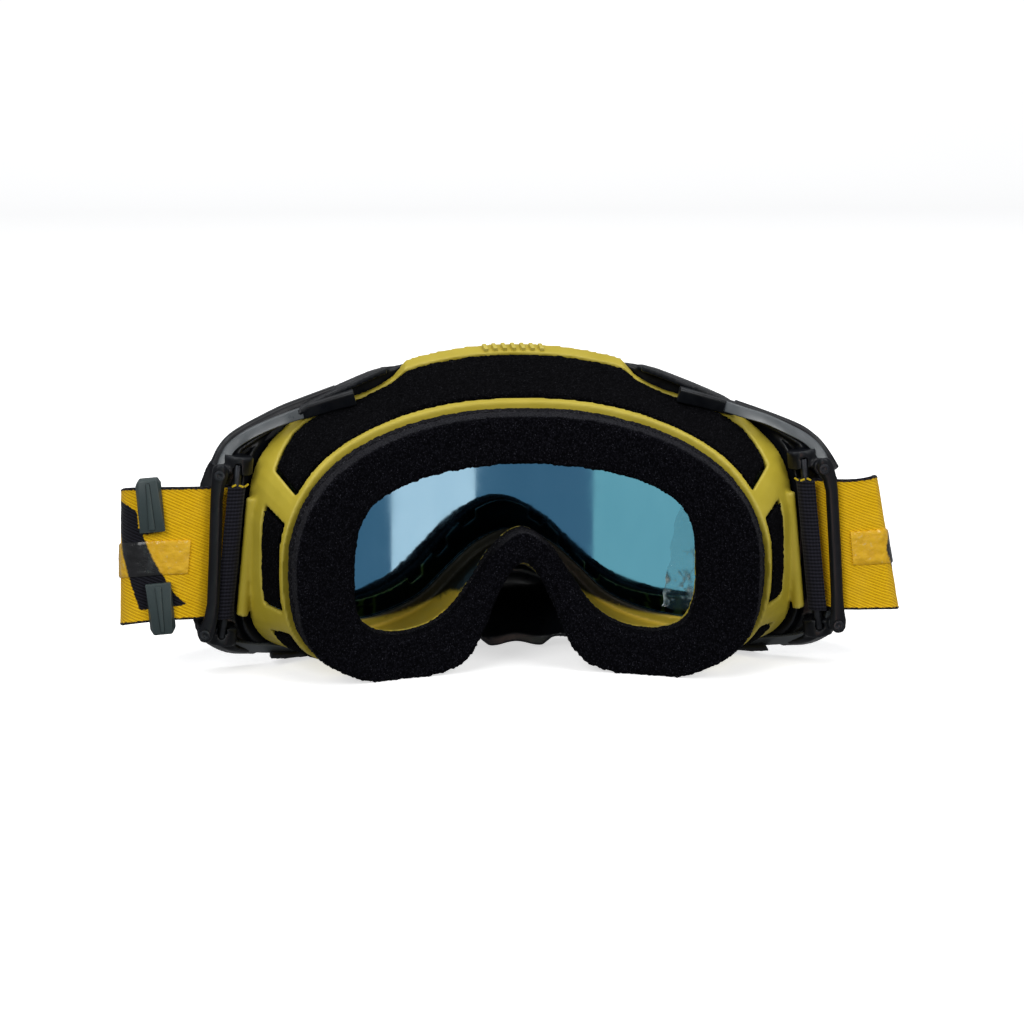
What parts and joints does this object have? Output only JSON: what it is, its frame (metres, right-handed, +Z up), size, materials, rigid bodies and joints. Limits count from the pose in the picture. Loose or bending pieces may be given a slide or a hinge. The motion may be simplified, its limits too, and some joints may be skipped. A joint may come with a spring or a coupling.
{
  "type": "motorcycle goggles",
  "caption": "Off-road motorcycle goggles with a yellow frame, layered face foam, blue mirrored lens, black outer frame with strap arms, nose guard and a wide elastic strap with an adjuster.",
  "frame": {"origin": "middle of the whole object's footprint, on the surface it stands on", "axes": "+Z up; -Y is the way the wearer looks, so the lens is at -Y and the face foam at +Y; +X is the wearer's left"},
  "size_m": [0.2445, 0.114, 0.0969],
  "materials": {
    "yellow_rubber": "satin moulded flexible plastic, mustard yellow",
    "black_plastic": "semi-gloss black moulding",
    "grey_foam": "open-cell charcoal grey foam",
    "black_foam": "open-cell black foam, fleece-like face",
    "blue_lens": "blue mirrored polycarbonate",
    "clear_film": "thin clear protective film",
    "yellow_webbing": "twill-woven elastic webbing, black selvedges and reverse",
    "clear_silicone": "clear glossy silicone print",
    "steel": "dark plated steel",
    "slate_plastic": "satin slate green-grey moulding"
  },
  "bodies": {
    "frame": {"face_frame": "yellow_rubber", "lens": "blue_lens", "lens_film": "clear_film", "outer_frame": "black_plastic", "face_foam_base": "grey_foam", "face_foam_face": "black_foam", "vent_foam_top": "black_foam", "strap": "yellow_webbing", "silicone_grip": "clear_silicone", "vent_foam_side_left": "black_foam", "vent_foam_low_left": "black_foam", "vent_foam_cheek_left": "black_foam", "strap_pin_left": "steel", "strap_keeper_left": "black_plastic", "keeper_screw_upper_left": "steel", "keeper_screw_lower_left": "steel", "tear_off_post_left": "black_plastic", "vent_foam_side_right": "black_foam", "vent_foam_low_right": "black_foam", "vent_foam_cheek_right": "black_foam", "strap_pin_right": "steel", "strap_keeper_right": "black_plastic", "keeper_screw_upper_right": "steel", "keeper_screw_lower_right": "steel", "tear_off_post_right": "black_plastic"},
    "slider": {"strap_slider": "slate_plastic"},
    "guard": {"nose_guard": "black_plastic"}
  },
  "joints": [
    {"name": "slider_slide", "type": "slide", "parent": "frame", "child": "slider", "axis": [-1, 0, 0], "range_m": [0, 0.005]},
    {"name": "nose_guard_pull", "type": "slide", "parent": "frame", "child": "guard", "axis": [0, -1, 0], "range_m": [0, 0.018]}
  ]
}
